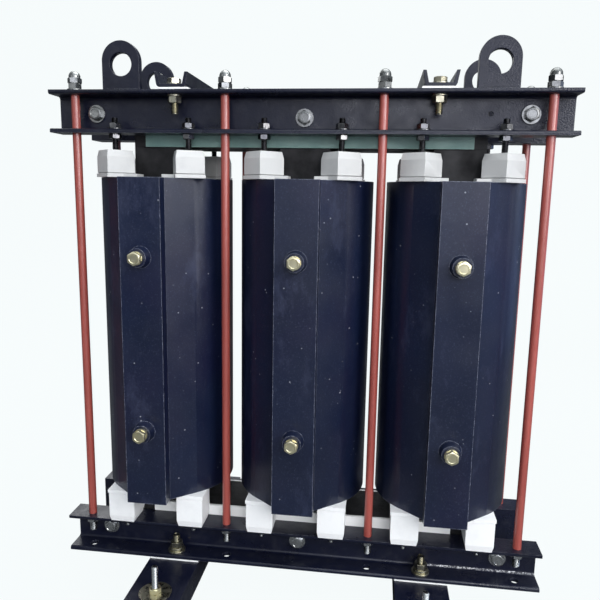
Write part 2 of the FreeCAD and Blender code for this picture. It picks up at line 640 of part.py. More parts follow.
def tie_rods():
    """Sleeved rods that pull the upper channels down on the core."""
    under = "(%s - channel_flange)" % LOW_FLANGE_TOP
    low_washer = "(%s - washer_thickness)" % under
    low_nut = "(%s - rod_low_nut_height)" % low_washer
    high_nut = "(%s + washer_thickness)" % TOP
    rod_foot = "(%s - rod_end)" % low_nut
    cap_foot = "(%s + rod_nut_height)" % high_nut
    length = "%s + cap_thread - %s" % (cap_foot, rod_foot)
    sleeve_top = "(%s - channel_flange)" % TOP
    outer = "rod_radius + sleeve_wall + thread_fit"
    tube_height = "%s - %s" % (sleeve_top, LOW_FLANGE_TOP)
    tube = less("sleeve_tube", cylinder("sleeve_outside", outer, tube_height),
                [cylinder("sleeve_inside", "rod_radius + thread_fit", tube_height)])
    ring = washer("rod_washer", "washer_radius", "washer_thickness", "rod_radius")
    top_nut = nut("rod_nut", "hex_flats", "rod_nut_height", "rod_radius")
    thin_nut = nut("rod_thin_nut", "hex_flats", "rod_low_nut_height", "rod_radius")
    collar_top = "(cap_hex_height + cap_collar)"
    dome = doc.addObject("Part::Sphere", "cap_dome")
    dome.Angle1 = 0
    bind(dome, Radius="cap_dome_radius")
    put(dome, z=collar_top)
    cap = less("cap_nut", fused("cap_body", [
        hexagon("cap_hex", "hex_flats", "cap_hex_height"),
        cylinder("cap_round", "cap_dome_radius", "cap_collar + hex_edge", z="cap_hex_height - hex_edge"),
        dome,
    ]), [cylinder("cap_bore", "rod_radius + thread_fit", "cap_thread + cap_relief")])
    groups = {"tie_rods": [], "tie_rod_sleeves": [], "tie_rod_washers": [], "tie_rod_nuts": [],
              "tie_rod_cap_nuts": [], "tie_rod_thin_nuts": []}
    for i, x in enumerate(ROD_PLACES):
        for end, side in SIDES:
            y = at_side(side, HOLE_LINE)
            tag = "_%d_%s" % (i, end)
            groups["tie_rods"].append(cylinder("rod" + tag, "rod_radius", length, x, y, rod_foot))
            groups["tie_rod_sleeves"].append(copy_at(tube, "sleeve" + tag, x, y, LOW_FLANGE_TOP))
            groups["tie_rod_washers"].append(copy_at(ring, "rod_ring_high" + tag, x, y, TOP))
            groups["tie_rod_washers"].append(copy_at(ring, "rod_ring_low" + tag, x, y, low_washer))
            groups["tie_rod_nuts"].append(copy_at(top_nut, "rod_nut" + tag, x, y, high_nut, turned(i)))
            groups["tie_rod_cap_nuts"].append(copy_at(cap, "cap_nut" + tag, x, y, cap_foot, turned(i + 1)))
            groups["tie_rod_thin_nuts"].append(copy_at(thin_nut, "thin_nut" + tag, x, y, low_nut))
    for label, solids in groups.items():
        node(label, solids)


def clamp_bolts():
    """Bolts that draw the front and rear channels together, three above and three below."""
    reach = "(%s + wide_washer_thickness)" % WEB_FACE
    long_bolt = bolt("clamp_bolt", "hex_flats", "head_height", "bolt_radius",
                     "2 * %s + hex_height + thread_end" % reach)
    ring = washer("clamp_washer", "wide_washer_radius", "wide_washer_thickness", "bolt_radius")
    back_nut = nut("clamp_nut", "hex_flats", "hex_height", "bolt_radius")
    made_bolts = []
    made_washers = []
    made_nuts = []
    for row, levels in (("low", LOW_CLAMPS), ("high", HIGH_CLAMPS)):
        for i, (x, z) in enumerate(zip(CLAMP_PLACES, levels)):
            tag = "_%s_%d" % (row, i)
            made_bolts.append(copy_at(long_bolt, "clamp_bolt" + tag, x, "-" + reach, z, AGAINST_Y))
            made_washers.append(copy_at(ring, "clamp_ring_front" + tag, x, "-" + WEB_FACE, z, AGAINST_Y))
            made_washers.append(copy_at(ring, "clamp_ring_rear" + tag, x, WEB_FACE, z, ALONG_Y))
            made_nuts.append(copy_at(back_nut, "clamp_nut" + tag, x, reach, z, ALONG_Y))
    node("clamp_bolts", made_bolts)
    node("clamp_washers", made_washers)
    node("clamp_nuts", made_nuts)


def u_beam(middle, low, high, half, wall_up, wall, flanges_up, lean="0"):
    """Corners of a U section: its web at one level, its two flanges towards the other, leaning outwards."""
    left = "(%s - %s)" % (middle, half)
    right = "(%s + %s)" % (middle, half)
    web, tip = (low, high) if flanges_up else (high, low)
    inside = "(%s + %s)" % (web, wall_up) if flanges_up else "(%s - %s)" % (web, wall_up)
    inner_left = "(%s + %s)" % (left, wall)
    inner_right = "(%s - %s)" % (right, wall)
    return [(left + " + " + lean, web), (right + " - " + lean, web),
            (right, tip), (inner_right, tip),
            (inner_right + " - " + lean, inside), (inner_left + " + " + lean, inside),
            (inner_left, tip), (left, tip)]


def cross_beams():
    """Folded U beams on top, front to rear, on insulating pads, each held by two bolts."""
    pads = []
    bolts = []
    washers = []
    nuts = []
    grip = "beam_wall + beam_pad + channel_flange + 2 * washer_thickness"
    length = "%s + hex_height + 2 * thread_end" % grip
    beam_bolt = bolt("beam_bolt", "hex_flats", "head_height", "bolt_radius", length)
    ring = washer("beam_washer", "washer_radius", "washer_thickness", "bolt_radius")
    beam_nut = nut("beam_nut", "hex_flats", "hex_height", "bolt_radius")
    under_washer = "(%s - channel_flange - washer_thickness)" % TOP
    under_nut = "(%s - hex_height)" % under_washer
    head = "%s + washer_thickness" % BEAM_FLOOR
    hole = "bolt_radius + hole_fit"
    for name, place in (("left", "-beam_spread"), ("right", "beam_spread")):
        label = "cross_beam_" + name
        points = u_beam(place, BEAM_FOOT, BEAM_FOOT + " + beam_height", "beam_width / 2",
                        "beam_wall", "beam_wall", True, "beam_lean")
        body = rolled(label + "_bar", "XZ_Plane", points, "2 * %s" % FLANGE_EDGE,
                      [("beam_round", points[:2])])
        tools = []
        for end, side in SIDES:
            y = at_side(side, HOLE_LINE)
            tag = "_%s_%s" % (name, end)
            tools.append(cylinder("beam_drill" + tag, hole, "beam_wall", place, y, BEAM_FOOT))
            pad = middle_box("beam_pad_sheet" + tag, ("beam_width", "channel_width", "beam_pad"), place,
                             at_side(side, "%s + channel_width / 2" % WEB_BACK), TOP)
            drill = cylinder("beam_pad_drill" + tag, hole, "beam_pad", place, y, TOP)
            pads.append(less("beam_pad" + tag, pad, [drill]))
            bolts.append(copy_at(beam_bolt, "beam_bolt" + tag, place, y, head))
            washers.append(copy_at(ring, "beam_ring_top" + tag, place, y, BEAM_FLOOR))
            washers.append(copy_at(ring, "beam_ring_under" + tag, place, y, under_washer))
            nuts.append(copy_at(beam_nut, "beam_nut" + tag, place, y, under_nut))
        node(label, [less(label, body, tools)])
    node("cross_beam_pads", pads)
    node("beam_bolts", bolts)
    node("beam_washers", washers)
    node("beam_nuts", nuts)


def lifting_lugs():
    """Plates with a round top and an eye, standing on the upper channels."""
    for end, side in SIDES:
        inner = "%s + lug_face - lug_thickness" % WEB_BACK
        outer = "%s + lug_face" % WEB_BACK
        front = at_side(side, outer if side < 0 else inner)
        for name, place in LUG_PLACES:
            label = "lifting_lug_%s_%s" % (end, name)
            plate = box(label + "_plate", ("lug_width", "lug_thickness", "lug_centre"),
                        place + " - lug_width / 2", front, TOP)
            crown = cylinder(label + "_crown", "lug_width / 2", "lug_thickness", place, front,
                             TOP + " + lug_centre", ALONG_Y)
            eye = cylinder(label + "_eye", "eye_radius", "lug_thickness", place, front,
                           TOP + " + eye_centre", ALONG_Y)
            node(label, [less(label, fused(label + "_blank", [plate, crown]), [eye])])


def feet():
    """Two channel beams across the bottom, on rubber buffers, with pads under the frame."""
    half_width = "foot_width / 2"
    web_under = "(%s - foot_web)" % FOOT_TOP
    flange_top = "(%s + channel_flange)" % BASE
    ring_foot = "(%s + wide_washer_thickness)" % flange_top
    stack = "(wide_washer_thickness + 2 * washer_thickness)"
    hole = "bolt_radius + hole_fit"
    stud_hole = "stud_radius + hole_fit"
    shank = "foot_web + foot_pad + channel_flange + %s + hex_height + foot_thread_end" % stack
    foot_bolt = bolt("foot_bolt", "hex_flats", "head_height", "bolt_radius", shank)
    wide_ring = washer("foot_wide_washer", "foot_washer_radius", "wide_washer_thickness", "bolt_radius")
    ring = washer("foot_washer", "washer_radius", "washer_thickness", "bolt_radius")
    foot_nut = nut("foot_nut", "hex_flats", "hex_height", "bolt_radius")
    stud_nut = nut("buffer_nut", "stud_flats", "stud_nut_height", "stud_radius")
    stud_ring = washer("buffer_washer", "buffer_washer_radius", "buffer_washer_thickness", "stud_radius")
    pads, bolts, wide_rings, rings, nuts = [], [], [], [], []
    buffers, studs, stud_rings, stud_nuts = [], [], [], []
    for name, place in (("left", "-foot_spread"), ("right", "foot_spread")):
        label = "foot_beam_" + name
        points = u_beam(place, "ground_gap", FOOT_TOP, half_width, "foot_web", "foot_flange", False)
        body = rolled(label + "_bar", "XZ_Plane", points, "foot_length", [("foot_round", points[4:6])])
        tools = []
        for end, side in SIDES:
            y = at_side(side, HOLE_LINE)
            reach = at_side(side, "buffer_reach")
            tag = "_%s_%s" % (name, end)
            tools.append(cylinder("foot_drill" + tag, hole, "foot_web", place, y, web_under))
            tools.append(cylinder("stud_drill" + tag, stud_hole, "foot_web", place, reach, web_under))
            pad = middle_box("foot_pad_sheet" + tag, ("foot_width", "channel_width", "foot_pad"), place,
                             at_side(side, "%s + channel_width / 2" % WEB_BACK), FOOT_TOP)
            drill = cylinder("foot_pad_drill" + tag, hole, "foot_pad", place, y, FOOT_TOP)
            pads.append(less("foot_pad_piece" + tag, pad, [drill]))
            bolts.append(copy_at(foot_bolt, "foot_bolt" + tag, place, y, web_under, UPSIDE_DOWN))
            wide_rings.append(copy_at(wide_ring, "foot_wide_ring" + tag, place, y, flange_top))
            for i in range(2):
                rings.append(copy_at(ring, "foot_ring%s_%d" % (tag, i), place, y,
                                     "%s + %d * washer_thickness" % (ring_foot, i)))
            nuts.append(copy_at(foot_nut, "foot_nut" + tag, place, y, "%s + %s" % (flange_top, stack)))
            rubber = cylinder("buffer_rubber" + tag, "buffer_radius", web_under, place, reach)
            pocket = cylinder("buffer_pocket" + tag, "stud_radius + thread_fit", "stud_grip", place, reach,
                              web_under + " - stud_grip")
            buffers.append(less("buffer" + tag, rubber, [pocket]))
            studs.append(cylinder("buffer_stud" + tag, "stud_radius", "stud_grip + foot_web + stud_reach",
                                  place, reach, web_under + " - stud_grip"))
            stud_rings.append(copy_at(stud_ring, "buffer_ring" + tag, place, reach, FOOT_TOP))
            stud_nuts.append(copy_at(stud_nut, "buffer_nut" + tag, place, reach,
                                     FOOT_TOP + " + buffer_washer_thickness"))
        node(label, [less(label, body, tools)])
    groups = {"foot_pads": pads, "foot_bolts": bolts, "foot_wide_washers": wide_rings, "foot_washers": rings,
              "foot_nuts": nuts, "rubber_buffers": buffers, "buffer_studs": studs,
              "buffer_washers": stud_rings, "buffer_nuts": stud_nuts}
    for label, solids in groups.items():
        node(label, solids)


channels()
iron_core()
coils()
blocks()
jack_screws()
tie_rods()
clamp_bolts()
cross_beams()
lifting_lugs()
feet()
doc.recompute()

for thing in doc.Objects:
    faults = [state for state in thing.State if state in ("Invalid", "Error")]
    if faults:
        raise RuntimeError("%s is %s" % (thing.Label, ", ".join(faults)))
for made in NODES:
    if made.Shape.isNull() or not made.Shape.isValid():
        raise RuntimeError("%s has no valid shape" % made.Label)

os.makedirs("parts", exist_ok=True)
for made in NODES:
    solids = made.Shape.Solids
    shape = solids[0] if len(solids) == 1 else Part.makeCompound(solids)
    shape.exportStep("parts/%s.step" % made.Label)
    print(made.Label, len(solids), round(made.Shape.Volume))
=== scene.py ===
import json
import math

import bmesh
import bpy
from mathutils import Matrix, Vector, noise


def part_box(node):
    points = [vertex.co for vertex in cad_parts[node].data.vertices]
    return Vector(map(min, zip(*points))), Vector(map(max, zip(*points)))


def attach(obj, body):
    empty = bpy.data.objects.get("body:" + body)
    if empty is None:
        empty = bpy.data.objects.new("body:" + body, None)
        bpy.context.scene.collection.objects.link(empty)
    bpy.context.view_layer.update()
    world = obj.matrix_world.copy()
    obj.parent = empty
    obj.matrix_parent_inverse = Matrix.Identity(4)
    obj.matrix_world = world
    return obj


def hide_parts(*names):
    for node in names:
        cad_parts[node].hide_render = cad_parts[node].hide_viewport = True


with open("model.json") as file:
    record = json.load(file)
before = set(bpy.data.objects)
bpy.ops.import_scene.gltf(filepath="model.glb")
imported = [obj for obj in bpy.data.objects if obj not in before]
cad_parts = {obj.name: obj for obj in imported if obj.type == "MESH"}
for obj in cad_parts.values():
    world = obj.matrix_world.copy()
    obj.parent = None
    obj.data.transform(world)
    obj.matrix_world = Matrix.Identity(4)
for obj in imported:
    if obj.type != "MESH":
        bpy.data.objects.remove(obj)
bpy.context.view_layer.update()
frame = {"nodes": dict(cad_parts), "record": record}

NODES = frame["nodes"]

MM = 0.001
TURN = 2 * math.pi

# Camera, in the part's frame: metres, degrees and pixels of the photo
PHOTO_SIDE = 600
CAMERA_PLACE = Vector((0.1198, -1.0250, 0.6860))
CAMERA_YAW = 7.052
CAMERA_PITCH = -9.619
CAMERA_ROLL = -1.006
FOCAL_PIXELS = 607.5
AXIS_PIXEL = (301.5, 297.4)
SENSOR = 36.0
CLIP_START = 0.01

# Meshes, in metres and degrees
MERGE_DISTANCE = 1e-6
SORT_DIGITS = 4
SMOOTH_ANGLE = 35
BEVEL_SEGMENTS = 2
BEVEL_ANGLE = 30

# Threads. Depth, crest, start and end are shares of the pitch, and the lead-in is a share of the depth.
M12_PITCH = 0.00175
M10_PITCH = 0.0015
M8_PITCH = 0.00125
THREAD_DEPTH = 0.61
THREAD_CREST = 0.04
THREAD_START = 1.5
THREAD_END = 0.8
THREAD_SPARE_TURNS = 3
LEAD_IN = 0.9
TURN_STEPS = 20
ROD_STEPS = 28
SHANK_RADIUS = 0.006
SHANK_EASE = 0.05 * MM
SLEEVED_EASE = 0.4 * MM
TIE_ROD_THREAD = 34 * MM

# Hexagon heads. Face, rim and dish are shares of the width across flats.
HEAD_HEIGHT = 0.0075
HEX_FLATS = 0.019
HEAD_STEPS = 48
HEAD_FACE = 0.485
HEAD_CHAMFER = 30
HEAD_RIM = 0.36
HEAD_DISH = 0.33
HEAD_DISH_DEPTH = 0.03

# Studs: node, pitch, slot
STUDS = (
    ("buffer_studs", M10_PITCH, "bright_zinc"),
    ("jack_studs", M10_PITCH, "dark_steel"),
    ("block_screws", M8_PITCH, "bright_zinc"),
)

# Bolts: node, direction from the head's free end along the shank, threaded length, slot
BOLTS = (
    ("beam_bolts", (0, 0, -1), 34 * MM, "yellow_zinc"),
    ("foot_bolts", (0, 0, 1), 30 * MM, "yellow_zinc"),
    ("clamp_bolts", (0, 1, 0), 30 * MM, "bright_zinc"),
    ("terminal_bolts", (0, 1, 0), 22 * MM, "yellow_zinc"),
)

# Weld beads at the lugs' feet. Bulge, end, ripple and unevenness are shares of the leg. The taper is how fast
# the bead grows from an end, in legs over its whole length.
BEAD_LEG = 3 * MM
BEAD_OVERLAP = 0.2 * MM
BEAD_STEPS = 90
BEAD_AROUND = 7
BEAD_SMOOTH_ANGLE = 80
BEAD_BULGE = 0.14
BEAD_END = 0.35
BEAD_TAPER = 6
BEAD_RIPPLE = 0.09
BEAD_RIPPLE_LENGTH = 1.9 * MM
BEAD_UNEVEN = 0.14
BEAD_UNEVEN_SCALE = 160
BEAD_UNEVEN_ROW = 3

# Edge rounding of the carried-over solids, in metres, by slot
EDGES = {
    "frame_paint": 0.0007,
    "core_lacquer": 0.0005,
    "coil_resin": 0.0022,
    "block_white": 0.0009,
    "board_green": 0.0004,
    "board_pale": 0.0004,
    "sleeve_red": 0.0,
    "bright_zinc": 0.0003,
    "yellow_zinc": 0.0003,
    "dark_steel": 0.0003,
    "rubber": 0.0008,
}

# Colours, in linear light
PAINT_DEEP = (0.0026, 0.0036, 0.0125)
PAINT_LIGHT = (0.0048, 0.0066, 0.0215)
PAINT_DUST = (0.05, 0.052, 0.062)
PAINT_WORN = (0.21, 0.22, 0.25)
PAINT_RUBBED = (0.55, 0.56, 0.60)
RESIN_DEEP = (0.0028, 0.0058, 0.0210)
RESIN_LIGHT = (0.0048, 0.0098, 0.0345)
RESIN_PURPLE = (0.0072, 0.0070, 0.0300)
RESIN_DUST = (0.07, 0.085, 0.14)
RESIN_SCUFF = (0.040, 0.048, 0.095)
RESIN_WORN = (0.23, 0.25, 0.32)
RESIN_PIT = (0.30, 0.31, 0.36)
LACQUER_DEEP = (0.006, 0.006, 0.007)
LACQUER_LIGHT = (0.03, 0.03, 0.033)
CLOTH_GREY = (0.5, 0.5, 0.5)
GREEN_DEEP = (0.11, 0.21, 0.20)
GREEN_LIGHT = (0.21, 0.33, 0.31)
GREEN_WORN = (0.40, 0.55, 0.50)
BOARD_DIM = (0.88, 0.89, 0.89)
BOARD_BRIGHT = (0.95, 0.96, 0.96)
SLEEVE_DEEP = (0.29, 0.052, 0.040)
SLEEVE_LIGHT = (0.42, 0.086, 0.068)
SLEEVE_PATCH = (0.21, 0.040, 0.033)
# Painted shade on bright zinc, high on the part and to the right
ZINC_PAINTED_SHADE = (0.12, 0.12, 0.12)
RUBBER_DEEP = (0.012, 0.012, 0.012)
RUBBER_LIGHT = (0.024, 0.024, 0.025)
FLOOR_DIM = (0.105, 0.11, 0.115)
FLOOR_BRIGHT = (0.12, 0.125, 0.13)
PAPER = (0.953, 0.996, 1.0)
AIR_LOW = (0.06, 0.065, 0.08)
AIR_HIGH = (0.86, 0.94, 1.0)

# Worn edges: samples of the bevel node, and how far its normal turns from the face's, as a cosine
EDGE_SAMPLES = 6
EDGE_TURNS = (0.80, 0.97)

# Where the paint is rubbed bright on the lower front flange: low, high and soft end along each axis
RUBBED_X = (0.215, 0.395, 0.02)
RUBBED_Y = (-0.062, -0.054, 0.0005)
RUBBED_Z = (0.0645, 0.0672, 0.0004)

# Studio, in metres
FLOOR_HALF_WIDTH = 6.0
FLOOR_FRONT = -4.0
BACKDROP_PLACE = 3.0
BACKDROP_TOP = 5.0
BACKDROP_RADIUS = 1.2
BACKDROP_STEPS = 12
PAPER_STRENGTH = 1.11
PAPER_SHARE = 0.86

# Light from all round: where it turns from low to high, how strong it is at both sides and where those lie
AIR_TURNS = (0.46, 0.74)
AIR_STRENGTHS = (0.34, 1.3)
AIR_SIDES = (-0.6, 0.5)

# Lamps: name, place, target, width, height, watts, colour, lights matt surfaces, shows in glossy ones
MIDDLE = (0, 0, 0.45)
LAMPS = (
    ("key", (2.1, -1.9, 1.5), MIDDLE, 1.2, 1.6, 38, (1.0, 0.98, 0.96), True, True),
    ("front", (0.7, -2.6, 1.45), MIDDLE, 1.2, 1.0, 27, (1.0, 0.99, 0.98), True, False),
    ("sheen", (0.74, -2.0, 1.0), (0.2, -0.05, 0.75), 1.9, 0.66, 12, (0.88, 0.90, 1.0), False, True),
    ("side", (2.3, 0.3, 0.5), (0.3, 0.0, 0.5), 2.6, 1.4, 6, (0.34, 0.50, 1.0), False, True),
    ("fill", (-1.6, -2.1, 1.35), MIDDLE, 1.2, 0.9, 2.5, (0.93, 0.96, 1.0), True, True),
    ("low", (0.3, -2.2, 0.4), (0, 0, 0.15), 1.8, 0.5, 7.5, (0.97, 0.98, 1.0), True, False),
    ("top", (0.3, 0.0, 3.2), (0, 0.0, 0), 3.0, 2.4, 50, (0.97, 1.0, 1.0), True, True),
    ("rear", (-1.3, 2.3, 1.7), MIDDLE, 1.2, 1.2, 14, (0.97, 0.99, 1.0), True, True),
    ("backdrop", (0.0, 0.8, 2.8), (0, 3.0, 0.6), 5.0, 1.0, 60, (0.97, 1.0, 1.0), True, True),
)


# Meshes

def islands(node):
    """Lowest and highest corner of each separate solid in a CAD node."""
    mesh = bmesh.new()
    mesh.from_mesh(NODES[node].data)
    bmesh.ops.remove_doubles(mesh, verts=mesh.verts, dist=MERGE_DISTANCE)
    seen = set()
    boxes = []
    for start in mesh.verts:
        if start in seen:
            continue
        seen.add(start)
        stack = [start]
        points = []
        while stack:
            vert = stack.pop()
            points.append(vert.co.copy())
            for edge in vert.link_edges:
                other = edge.other_vert(vert)
                if other not in seen:
                    seen.add(other)
                    stack.append(other)
        low = Vector(min(p[i] for p in points) for i in range(3))
        high = Vector(max(p[i] for p in points) for i in range(3))
        boxes.append((low, high))
    mesh.free()
    return sorted(boxes, key=lambda b: tuple(round(c, SORT_DIGITS) for c in b[0]))


def add_grid(mesh, rows, wrap=0):
    """Quads between rows of points. The last row joins the first, moved on by wrap columns."""
    verts = [[mesh.verts.new(p) for p in row] for row in rows]
    count = len(rows)
    width = len(rows[0])
    for i in range(count):
        after = verts[(i + 1) % count]
        shift = wrap if i == count - 1 else 0
        for j in range(width - 1 - shift):
            mesh.faces.new((verts[i][j], verts[i][j + 1], after[j + 1 + shift], after[j + shift]))


def add_thread(mesh, radius, pitch, low, high, place):
    """A threaded length along z with flat ends and a lead-in at both ends, moved by a matrix."""
    root = radius - THREAD_DEPTH * pitch
    lead = LEAD_IN * (radius - root)
    turns = math.ceil((high - low) / pitch) + THREAD_SPARE_TURNS
    rows = []
    for i in range(TURN_STEPS):
        angle = TURN * i / TURN_STEPS
        row = []
        for j in range(2 * turns + 1):
            raw = low - THREAD_START * pitch + (j / 2 + i / TURN_STEPS) * pitch
            past = max(low - raw, raw - high)
            z = min(max(raw, low), high)
            edge = min(z - low, high - z)
            size = radius - THREAD_CREST * pitch if j % 2 else root
            size = min(size, radius - lead + edge)
            if past > THREAD_END * pitch:
                size = 0.0
            row.append(place @ Vector((size * math.cos(angle), size * math.sin(angle), z)))
        rows.append(row)
    add_grid(mesh, rows, wrap=2)


def add_turned(mesh, steps, profile, place):
    """A shape turned about z. The profile gives radius and height for each angle."""
    rows = []
    for i in range(steps):
        angle = TURN * i / steps
        c, s = math.cos(angle), math.sin(angle)
        rows.append([place @ Vector((r * c, r * s, z)) for r, z in profile(angle)])
    add_grid(mesh, rows)


def add_rod(mesh, radius, low, high, place):
    """A plain round length along z with closed ends."""
    row = ((0.0, low), (radius, low), (radius, high), (0.0, high))
    add_turned(mesh, ROD_STEPS, lambda angle: row, place)


def add_hex_head(mesh, flats, height, place):
    """A hexagon head standing on z = 0 with its free end turned and slightly dished."""
    face = HEAD_FACE * flats
    dish = height - HEAD_DISH_DEPTH * flats

    def profile(angle):
        sector = (angle + math.pi / 6) % (math.pi / 3) - math.pi / 6
        reach = 0.5 * flats / math.cos(sector)
        shoulder = height - max(0.0, reach - face) * math.tan(math.radians(HEAD_CHAMFER))
        return ((0.0, 0.0), (reach, 0.0), (reach, shoulder), (face, height),
                (HEAD_RIM * flats, height), (HEAD_DISH * flats, dish), (0.0, dish))

    add_turned(mesh, HEAD_STEPS, profile, place)


def finish_piece(name, mesh, surface, replaced=(), smooth=SMOOTH_ANGLE):
    """Closes a mesh into a piece that rides on the part."""
    bmesh.ops.remove_doubles(mesh, verts=mesh.verts, dist=MERGE_DISTANCE)
    bmesh.ops.recalc_face_normals(mesh, faces=mesh.faces)
    piece = add_object(name, mesh)
    piece.data.set_sharp_from_angle(angle=math.radians(smooth))
    piece.data.materials.append(surface)
    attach(piece, "root")
    if replaced:
        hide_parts(*replaced)


def add_object(name, mesh):
    """An object in the scene with smooth faces, made from a mesh that is freed here."""
    data = bpy.data.meshes.new(name)
    mesh.to_mesh(data)
    mesh.free()
    data.shade_smooth()
    thing = bpy.data.objects.new(name, data)
    bpy.context.scene.collection.objects.link(thing)
    return thing


def add_bevel(thing, width):
    """Finely rounded edges."""
    weld = thing.modifiers.new("weld", "WELD")
    weld.merge_threshold = MERGE_DISTANCE
    bevel = thing.modifiers.new("bevel", "BEVEL")
    bevel.width = width
    bevel.segments = BEVEL_SEGMENTS
    bevel.limit_method = "ANGLE"
    bevel.angle_limit = math.radians(BEVEL_ANGLE)
    bevel.harden_normals = True


# Node materials

class Nodes:
    """The shader nodes of one material or world, and its coordinates."""

    def __init__(self, owner, coordinate):
        owner.use_nodes = True
        self.tree = owner.node_tree
        self.place = self.node("ShaderNodeTexCoord").outputs[coordinate]

    def node(self, kind, **settings):
        made = self.tree.nodes.new(kind)
        for key, setting in settings.items():
            setattr(made, key, setting)
        return made

    def found(self, kind):
        """The first node of a type in the tree."""
        return next(n for n in self.tree.nodes if n.type == kind)

    def link(self, source, target):
        self.tree.links.new(source, target)

    def ramp(self, source, first, second, dark=0.3, bright=0.7):
        """The first colour up to dark and the second from bright on."""
        made = self.node("ShaderNodeValToRGB")
        for element, place, color in zip(made.color_ramp.elements, (dark, bright), (first, second)):
            element.position = place
            element.color = (*color, 1.0)
        self.link(source, made.inputs["Fac"])
        return made.outputs["Color"]

    def grey(self, source, low, high, dark=0.35, bright=0.65):
        """A number from low to high as the source goes from dark to bright."""
        made = self.node("ShaderNodeMapRange")
        made.inputs["From Min"].default_value = dark
        made.inputs["From Max"].default_value = bright
        made.inputs["To Min"].default_value = low
        made.inputs["To Max"].default_value = high
        self.link(source, made.inputs["Value"])
        return made.outputs["Result"]

    def product(self, first, second):
        both = self.node("ShaderNodeMath", operation="MULTIPLY")
        self.link(first, both.inputs[0])
        self.link(second, both.inputs[1])
        return both.outputs["Value"]

    def along(self, axis):
        """Place along an axis."""
        parts = self.node("ShaderNodeSeparateXYZ")
        self.link(self.place, parts.inputs["Vector"])
        return parts.outputs[axis]

    def show(self, plain, paper, share, output):
        """Camera rays see a share of the paper's shader, and all other rays the plain one."""
        seen = self.node("ShaderNodeLightPath").outputs["Is Camera Ray"]
        blend = self.node("ShaderNodeMixShader")
        self.link(self.grey(seen, 0.0, share, dark=0.0, bright=1.0), blend.inputs["Fac"])
        self.link(plain, blend.inputs[1])
        self.link(paper, blend.inputs[2])
        self.link(blend.outputs["Shader"], self.found(output).inputs["Surface"])


class Surface(Nodes):
    """A procedural material around one Principled shader, in object coordinates."""

    def __init__(self, name, **sockets):
        self.material = bpy.data.materials.new(name)
        super().__init__(self.material, "Object")
        self.shader = self.found("BSDF_PRINCIPLED")
        self.height = None
        for key, setting in sockets.items():
            self.shader.inputs[key.replace("_", " ")].default_value = setting

    def stretched(self, scale):
        """Object coordinates scaled along each axis."""
        if scale is None:
            return self.place
        mapping = self.node("ShaderNodeMapping")
        mapping.inputs["Scale"].default_value = scale
        self.link(self.place, mapping.inputs["Vector"])
        return mapping.outputs["Vector"]

    def noise(self, scale, detail, roughness=0.5, stretch=None):
        made = self.node("ShaderNodeTexNoise")
        made.inputs["Scale"].default_value = scale
        made.inputs["Detail"].default_value = detail
        made.inputs["Roughness"].default_value = roughness
        self.link(self.stretched(stretch), made.inputs["Vector"])
        return made.outputs["Fac"]

    def patches(self, scale, detail, low, high, dark=0.35, bright=0.65, roughness=0.5, stretch=None):
        """A number from low to high as a noise goes from dark to bright."""
        return self.grey(self.noise(scale, detail, roughness, stretch), low, high, dark, bright)

    def spots(self, scale):
        made = self.node("ShaderNodeTexVoronoi")
        made.inputs["Scale"].default_value = scale
        self.link(self.place, made.inputs["Vector"])
        return made.outputs["Distance"]

    def wave(self, scale, direction, distortion=0.0):
        made = self.node("ShaderNodeTexWave", bands_direction=direction)
        made.inputs["Scale"].default_value = scale
        made.inputs["Distortion"].default_value = distortion
        self.link(self.place, made.inputs["Vector"])
        return made.outputs["Fac"]

    def mixed(self, factor, first, second):
        """From the first to the second by a factor. Each is a colour or an output."""
        made = self.node("ShaderNodeMix", data_type="RGBA", blend_type="MIX")
        self.link(factor, made.inputs["Factor"])
        for slot, source in (("A", first), ("B", second)):
            socket = next(s for s in made.inputs if s.name == slot and s.type == "RGBA")
            if isinstance(source, tuple):
                socket.default_value = (*source, 1.0)
            else:
                self.link(source, socket)
        return next(s for s in made.outputs if s.type == "RGBA")

    def edge(self, radius, speckle):
        """A mask of one near sharp edges, broken up by a speckle."""
        rounded = self.node("ShaderNodeBevel", samples=EDGE_SAMPLES)
        rounded.inputs["Radius"].default_value = radius
        facing = self.node("ShaderNodeNewGeometry").outputs["Normal"]
        close = self.node("ShaderNodeVectorMath", operation="DOT_PRODUCT")
        self.link(rounded.outputs["Normal"], close.inputs[0])
        self.link(facing, close.inputs[1])
        return self.product(self.grey(close.outputs["Value"], 1.0, 0.0, *EDGE_TURNS), speckle)

    def within(self, axis, low, high, soft):
        """One between two places along an axis of the part, with soft ends."""
        place = self.along(axis)
        rise = self.grey(place, 0.0, 1.0, dark=low - soft, bright=low + soft)
        fall = self.grey(place, 1.0, 0.0, dark=high - soft, bright=high + soft)
        return self.product(rise, fall)

    def color(self, source):
        self.link(source, self.shader.inputs["Base Color"])

    def rough(self, scale, detail, low, high):
        """Roughness between low and high in soft patches."""
        self.link(self.patches(scale, detail, low, high), self.shader.inputs["Roughness"])

    def bump(self, source, depth, strength):
        """Adds one bump; several are chained."""
        made = self.node("ShaderNodeBump")
        made.inputs["Distance"].default_value = depth
        made.inputs["Strength"].default_value = strength
        self.link(source, made.inputs["Height"])
        if self.height is not None:
            self.link(self.height, made.inputs["Normal"])
        self.height = made.outputs["Normal"]
        self.link(self.height, self.shader.inputs["Normal"])


